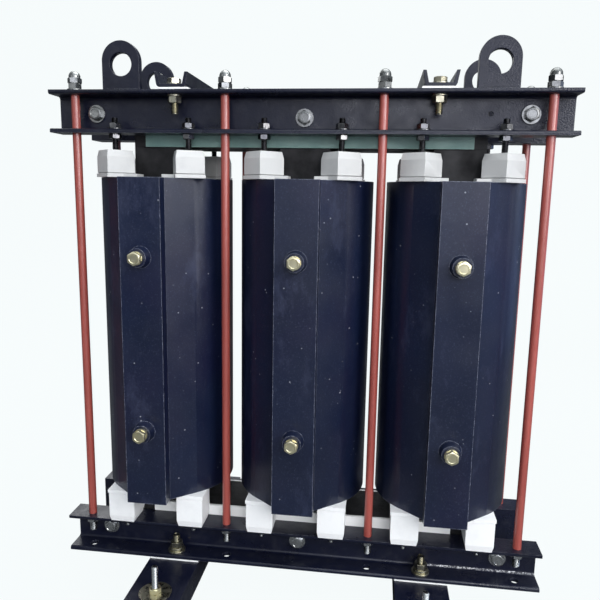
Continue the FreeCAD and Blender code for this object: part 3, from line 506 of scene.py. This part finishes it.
def frame_paint():
    """Blue-black paint with orange peel, dusty in places, worn at its edges and rubbed along one flange."""
    s = Surface("frame_paint", IOR=1.49)
    base = s.ramp(s.noise(9, 4), PAINT_DEEP, PAINT_LIGHT)
    dust = s.patches(60, 6, 0.0, 0.3, dark=0.5, bright=0.8, roughness=0.65)
    wear = s.edge(0.0011, s.patches(260, 4, 0.0, 0.85, dark=0.42, bright=0.6, roughness=0.7))
    line = s.product(s.within("Z", *RUBBED_Z), s.within("Y", *RUBBED_Y))
    broken = s.patches(420, 3, 0.0, 1.0, dark=0.50, bright=0.58, roughness=0.6)
    rubbed = s.product(line, s.product(s.within("X", *RUBBED_X), broken))
    worn = s.mixed(wear, s.mixed(dust, base, PAINT_DUST), PAINT_WORN)
    s.color(s.mixed(rubbed, worn, PAINT_RUBBED))
    s.rough(35, 4, 0.26, 0.42)
    peel = s.grey(s.along("X"), 0.4, 2.2, dark=0.20, bright=0.38)
    s.bump(s.product(s.noise(430, 2), peel), depth=0.0006, strength=0.7)
    s.bump(s.noise(75, 2), depth=0.0012, strength=0.3)
    return s.material


def coil_resin():
    """Navy cast resin, satin, with soft mottling, scuffs, pits and fine dust."""
    s = Surface("coil_resin", IOR=1.54)
    base = s.ramp(s.noise(5, 5), RESIN_DEEP, RESIN_LIGHT)
    dust = s.patches(420, 3, 0.0, 0.45, dark=0.56, bright=0.78, roughness=0.7)
    scuff = s.patches(17, 8, 0.0, 0.75, dark=0.55, bright=0.76, roughness=0.74, stretch=(1, 1, 0.45))
    base = s.mixed(s.patches(7, 3, 0.0, 0.45, dark=0.48, bright=0.66), base, RESIN_PURPLE)
    dusty = s.mixed(scuff, s.mixed(dust, base, RESIN_DUST), RESIN_SCUFF)
    wear = s.edge(0.0023, s.patches(200, 4, 0.0, 1.0, dark=0.38, bright=0.55, roughness=0.7))
    dots = s.grey(s.spots(80), 1.0, 0.0, dark=0.06, bright=0.12)
    pits = s.product(dots, s.patches(30, 2, 0.0, 0.9, dark=0.54, bright=0.62))
    s.color(s.mixed(pits, s.mixed(wear, dusty, RESIN_WORN), RESIN_PIT))
    s.rough(18, 4, 0.3, 0.42)
    s.bump(s.noise(150, 2), depth=0.0007, strength=0.2)
    s.bump(s.noise(13, 2), depth=0.004, strength=0.15)
    return s.material


def core_lacquer():
    """Dark lacquered core sheets seen on edge."""
    s = Surface("core_lacquer", IOR=1.3)
    s.color(s.ramp(s.noise(40, 5, stretch=(1, 30, 1)), LACQUER_DEEP, LACQUER_LIGHT, bright=0.75))
    s.rough(30, 3, 0.35, 0.6)
    s.bump(s.wave(320, "Y", distortion=0.4), depth=0.0005, strength=0.5)
    return s.material


def moulding(name, plain, marked):
    """Moulding compound, matt, with faint flow marks."""
    s = Surface(name)
    s.color(s.mixed(s.patches(45, 6, 0.0, 0.4, dark=0.5, bright=0.75, roughness=0.6), plain, marked))
    s.rough(90, 3, 0.42, 0.62)
    s.bump(s.noise(260, 3), depth=0.0005, strength=0.25)
    return s.material


def board_green():
    """Green epoxy glass board with its woven cloth just showing."""
    s = Surface("board_green")
    across = s.grey(s.wave(400, "X"), 0.0, 0.5, dark=0.0, bright=1.0)
    cloth = s.mixed(across, s.wave(400, "Z"), CLOTH_GREY)
    face = s.ramp(s.noise(25, 5), GREEN_DEEP, GREEN_LIGHT, dark=0.25, bright=0.75)
    s.color(s.mixed(s.edge(0.0016, s.patches(90, 3, 0.5, 0.9)), face, GREEN_WORN))
    s.rough(40, 3, 0.3, 0.45)
    s.bump(cloth, depth=0.0003, strength=0.3)
    return s.material


def board_pale():
    """Pale insulating board."""
    s = Surface("board_pale")
    s.color(s.ramp(s.noise(30, 5), BOARD_DIM, BOARD_BRIGHT, bright=0.75))
    s.rough(60, 3, 0.45, 0.6)
    s.bump(s.noise(300, 3), depth=0.0004, strength=0.25)
    return s.material


def sleeve_red():
    """Brick-red insulating sleeve with a soft sheen and fine lengthwise streaks."""
    s = Surface("sleeve_red", IOR=1.85)
    streaks = s.noise(160, 4, stretch=(1, 1, 0.04))
    patches = s.patches(16, 3, 0.0, 0.5, dark=0.45, bright=0.7, stretch=(1, 1, 0.3))
    s.color(s.mixed(patches, s.ramp(streaks, SLEEVE_DEEP, SLEEVE_LIGHT, bright=0.75), SLEEVE_PATCH))
    s.rough(80, 3, 0.28, 0.36)
    s.bump(streaks, depth=0.0003, strength=0.3)
    return s.material


def metal(name, dark, light, low, high, tint=None, low_painted_light=None):
    """Plated steel with small changes of tone and gloss, between a low and a high roughness.

    A tint shows in patches. A paler tone low on the part is painted light, and a darker one above and to the
    right is painted shade.
    """
    s = Surface(name, Metallic=1.0)
    tone = s.ramp(s.noise(45, 3), dark, light)
    if tint:
        tone = s.mixed(s.patches(28, 2, 0.0, 0.5, dark=0.42, bright=0.62), tone, tint)
    # Painted light and shade: paler low on the part, darker above and to the right
    if low_painted_light:
        tone = s.mixed(s.grey(s.along("Z"), 1.0, 0.0, dark=0.25, bright=0.75), tone, low_painted_light)
        right = s.grey(s.along("X"), 0.0, 0.6, dark=-0.20, bright=0.30)
        above = s.grey(s.along("Z"), 0.0, 1.0, dark=0.3, bright=0.7)
        tone = s.mixed(s.product(right, above), tone, ZINC_PAINTED_SHADE)
    s.color(tone)
    s.rough(120, 2, low, high)
    return s.material


def rubber():
    """Black rubber."""
    s = Surface("rubber")
    s.color(s.ramp(s.noise(40, 4), RUBBER_DEEP, RUBBER_LIGHT))
    s.rough(60, 3, 0.6, 0.8)
    s.bump(s.noise(300, 3), depth=0.0004, strength=0.4)
    return s.material


SURFACES = {
    "frame_paint": frame_paint(),
    "core_lacquer": core_lacquer(),
    "coil_resin": coil_resin(),
    "block_white": moulding("block_white", (0.92, 0.93, 0.95), (0.78, 0.79, 0.82)),
    # The upper blocks' white moulding, painted greyer as shade
    "block_white_painted_shade": moulding("block_white_painted_shade", (0.61, 0.615, 0.62), (0.49, 0.50, 0.52)),
    "board_green": board_green(),
    "board_pale": board_pale(),
    "sleeve_red": sleeve_red(),
    # Bright zinc carries painted light low on the part and painted shade high on the right
    "bright_zinc": metal("bright_zinc", (0.26, 0.265, 0.26), (0.37, 0.375, 0.37), 0.20, 0.32,
                         low_painted_light=(0.56, 0.57, 0.57)),
    "yellow_zinc": metal("yellow_zinc", (0.92, 0.81, 0.50), (1.0, 0.93, 0.64), 0.28, 0.40,
                         tint=(0.95, 0.89, 0.64)),
    "aged_zinc": metal("aged_zinc", (0.42, 0.39, 0.29), (0.56, 0.53, 0.41), 0.24, 0.36,
                       tint=(0.47, 0.46, 0.38)),
    "dark_steel": metal("dark_steel", (0.10, 0.10, 0.105), (0.19, 0.19, 0.195), 0.16, 0.28),
    "rubber": rubber(),
}

# Nodes that look different from the others in their slot: aged plating, or the white moulding painted greyer
# as shade on the upper blocks
AGED_NODES = ("foot_bolts", "foot_nuts", "foot_washers", "foot_wide_washers", "beam_bolts", "beam_nuts",
              "beam_washers", "buffer_washers")
PAINTED_SHADE_NODES = ("upper_blocks_left", "upper_blocks_middle", "upper_blocks_right")
OWN_SURFACES = {**dict.fromkeys(AGED_NODES, "aged_zinc"), **dict.fromkeys(PAINTED_SHADE_NODES, "block_white_painted_shade")}


def surface_of(node, slot):
    """The node's own material, or else that of its slot."""
    return SURFACES[OWN_SURFACES.get(node, slot)]


def dress_nodes():
    """Every CAD node takes the material of its slot and finely rounded edges."""
    for entry in frame["record"]["subparts"]:
        thing = NODES[entry["node"]]
        slot = entry["material_slot"]
        thing.data.materials.clear()
        thing.data.materials.append(surface_of(entry["node"], slot))
        if EDGES[slot]:
            add_bevel(thing, EDGES[slot])


# Fasteners

def upright(low, high):
    """A move to the middle of a box, seen from above."""
    middle = (low + high) / 2
    return Matrix.Translation((middle.x, middle.y, 0))


def studs(node, pitch, slot):
    """Studs of one node with their thread."""
    mesh = bmesh.new()
    for low, high in islands(node):
        add_thread(mesh, (high.x - low.x) / 2, pitch, low.z, high.z, upright(low, high))
    finish_piece(node + "_threaded", mesh, surface_of(node, slot), [node])


def bolts(node, direction, thread, slot):
    """Hexagon bolts of one node. The direction points from the head's free end along the shank."""
    mesh = bmesh.new()
    turn = Vector((0, 0, -1)).rotation_difference(Vector(direction)).to_matrix().to_4x4()
    axis = next(i for i in range(3) if direction[i])
    for low, high in islands(node):
        seat = (low + high) / 2
        seat[axis] = low[axis] + HEAD_HEIGHT if direction[axis] > 0 else high[axis] - HEAD_HEIGHT
        place = Matrix.Translation(seat) @ turn
        shank = high[axis] - low[axis] - HEAD_HEIGHT
        add_hex_head(mesh, HEX_FLATS, HEAD_HEIGHT, place)
        add_rod(mesh, SHANK_RADIUS - SHANK_EASE, -(shank - thread), 0.0, place)
        add_thread(mesh, SHANK_RADIUS, M12_PITCH, -shank, -(shank - thread), place)
    finish_piece(node + "_threaded", mesh, surface_of(node, slot), [node])


def tie_rods():
    """Tie rods: thread at both ends, plain in the sleeve."""
    mesh = bmesh.new()
    for low, high in islands("tie_rods"):
        place = upright(low, high)
        start, end = low.z + TIE_ROD_THREAD, high.z - TIE_ROD_THREAD
        add_thread(mesh, SHANK_RADIUS, M12_PITCH, low.z, start, place)
        add_rod(mesh, SHANK_RADIUS - SLEEVED_EASE, start, end, place)
        add_thread(mesh, SHANK_RADIUS, M12_PITCH, end, high.z, place)
    finish_piece("tie_rods_threaded", mesh, SURFACES["bright_zinc"], ["tie_rods"])


def fasteners():
    for node, pitch, slot in STUDS:
        studs(node, pitch, slot)
    for node, direction, thread, slot in BOLTS:
        bolts(node, direction, thread, slot)
    tie_rods()


# Welds

def lug_welds():
    """A rough fillet weld along the foot of each lifting lug, front and rear, painted over."""
    mesh = bmesh.new()
    for end in ("front", "rear"):
        for side in ("left", "right"):
            low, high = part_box("lifting_lug_%s_%s" % (end, side))
            for face, out in ((low.y, -1), (high.y, 1)):
                add_weld(mesh, (low.x, face, low.z), high.x - low.x, out)
    finish_piece("lug_welds", mesh, SURFACES["frame_paint"], smooth=BEAD_SMOOTH_ANGLE)


def add_weld(mesh, start, length, out):
    """One bead with ripples, along x, between an upright face and the flange below it."""
    rows = []
    for i in range(BEAD_STEPS + 1):
        t = i / BEAD_STEPS
        x = start[0] + t * length
        taper = min(1.0, BEAD_TAPER * t + BEAD_END, BEAD_TAPER * (1 - t) + BEAD_END)
        ripple = (1 + BEAD_RIPPLE * math.sin(t * length / BEAD_RIPPLE_LENGTH * math.pi)
                  + BEAD_UNEVEN * noise.noise(Vector((x * BEAD_UNEVEN_SCALE, out, BEAD_UNEVEN_ROW))))
        size = BEAD_LEG * taper * ripple
        row = [Vector((x, start[1] - out * BEAD_OVERLAP, start[2] - BEAD_OVERLAP))]
        for k in range(BEAD_AROUND):
            angle = math.pi / 2 * k / (BEAD_AROUND - 1)
            reach = size * (1 - BEAD_BULGE + BEAD_BULGE * math.sin(2 * angle))
            aside, up = reach * math.cos(angle), reach * math.sin(angle)
            row.append(Vector((x, start[1] + out * aside, start[2] + up)))
        rows.append(row)
    verts = [[mesh.verts.new(p) for p in row] for row in rows]
    width = len(rows[0])
    for a, b in zip(verts, verts[1:]):
        for j in range(width):
            mesh.faces.new((a[j], b[j], b[(j + 1) % width], a[(j + 1) % width]))
    mesh.faces.new(verts[0])
    mesh.faces.new(verts[-1][::-1])


# Stage

def stage():
    """A floor that turns up into a backdrop, both as white as paper to the camera."""
    foot = BACKDROP_PLACE - BACKDROP_RADIUS
    profile = [(FLOOR_FRONT, 0.0), (foot, 0.0)]
    for i in range(1, BACKDROP_STEPS + 1):
        angle = math.pi / 2 * i / BACKDROP_STEPS
        rise = BACKDROP_RADIUS - BACKDROP_RADIUS * math.cos(angle)
        profile.append((foot + BACKDROP_RADIUS * math.sin(angle), rise))
    profile.append((BACKDROP_PLACE, BACKDROP_TOP))
    mesh = bmesh.new()
    left = [mesh.verts.new((-FLOOR_HALF_WIDTH, y, z)) for y, z in profile]
    right = [mesh.verts.new((FLOOR_HALF_WIDTH, y, z)) for y, z in profile]
    for i in range(len(profile) - 1):
        mesh.faces.new((left[i], right[i], right[i + 1], left[i + 1]))
    floor = add_object("studio", mesh)
    s = Surface("studio", Roughness=0.9, Specular_IOR_Level=0.1)
    s.color(s.ramp(s.noise(0.8, 2), FLOOR_DIM, FLOOR_BRIGHT))
    floor.data.materials.append(s.material)
    paper = s.node("ShaderNodeEmission")
    paper.inputs["Color"].default_value = (*PAPER, 1.0)
    paper.inputs["Strength"].default_value = PAPER_STRENGTH
    s.show(s.shader.outputs["BSDF"], paper.outputs["Emission"], PAPER_SHARE, "OUTPUT_MATERIAL")


def lights():
    for name, place, target, width, height, watts, color, diffuse, glossy in LAMPS:
        data = bpy.data.lights.new(name, "AREA")
        data.shape = "RECTANGLE"
        data.size = width
        data.size_y = height
        data.energy = watts
        data.color = color
        lamp = bpy.data.objects.new(name, data)
        bpy.context.scene.collection.objects.link(lamp)
        lamp.location = place
        lamp.visible_diffuse = diffuse
        lamp.visible_glossy = glossy
        lamp.rotation_euler = (Vector(target) - Vector(place)).to_track_quat("-Z", "Y").to_euler()


def air():
    """Light from all round: bright above and to the right, dim near the floor and to the left."""
    world = bpy.data.worlds.new("studio_air")
    bpy.context.scene.world = world
    w = Nodes(world, "Generated")
    shade = w.found("BACKGROUND")
    height = w.grey(w.along("Z"), 0.0, 1.0, dark=-1.0, bright=1.0)
    w.link(w.ramp(height, AIR_LOW, AIR_HIGH, *AIR_TURNS), shade.inputs["Color"])
    w.link(w.grey(w.along("X"), *AIR_STRENGTHS, *AIR_SIDES), shade.inputs["Strength"])
    paper = w.node("ShaderNodeBackground")
    paper.inputs["Color"].default_value = (*PAPER, 1.0)
    w.show(shade.outputs["Background"], paper.outputs["Background"], 1.0, "OUTPUT_WORLD")


def camera():
    data = bpy.data.cameras.new("camera")
    data.sensor_width = SENSOR
    data.lens = FOCAL_PIXELS / PHOTO_SIDE * SENSOR
    data.shift_x = (PHOTO_SIDE / 2 - AXIS_PIXEL[0]) / PHOTO_SIDE
    data.shift_y = (AXIS_PIXEL[1] - PHOTO_SIDE / 2) / PHOTO_SIDE
    data.clip_start = CLIP_START
    seat = bpy.data.objects.new("camera", data)
    bpy.context.scene.collection.objects.link(seat)
    turn = (Matrix.Rotation(math.radians(CAMERA_YAW), 4, "Z")
            @ Matrix.Rotation(math.radians(CAMERA_PITCH), 4, "X")
            @ Matrix.Rotation(math.radians(CAMERA_ROLL), 4, "Y")
            @ Matrix.Rotation(math.radians(90), 4, "X"))
    seat.matrix_world = Matrix.Translation(CAMERA_PLACE) @ turn
    bpy.context.scene.camera = seat


camera()
dress_nodes()
fasteners()
lug_welds()
stage()
lights()
air()
bpy.context.scene.view_settings.view_transform = "Standard"
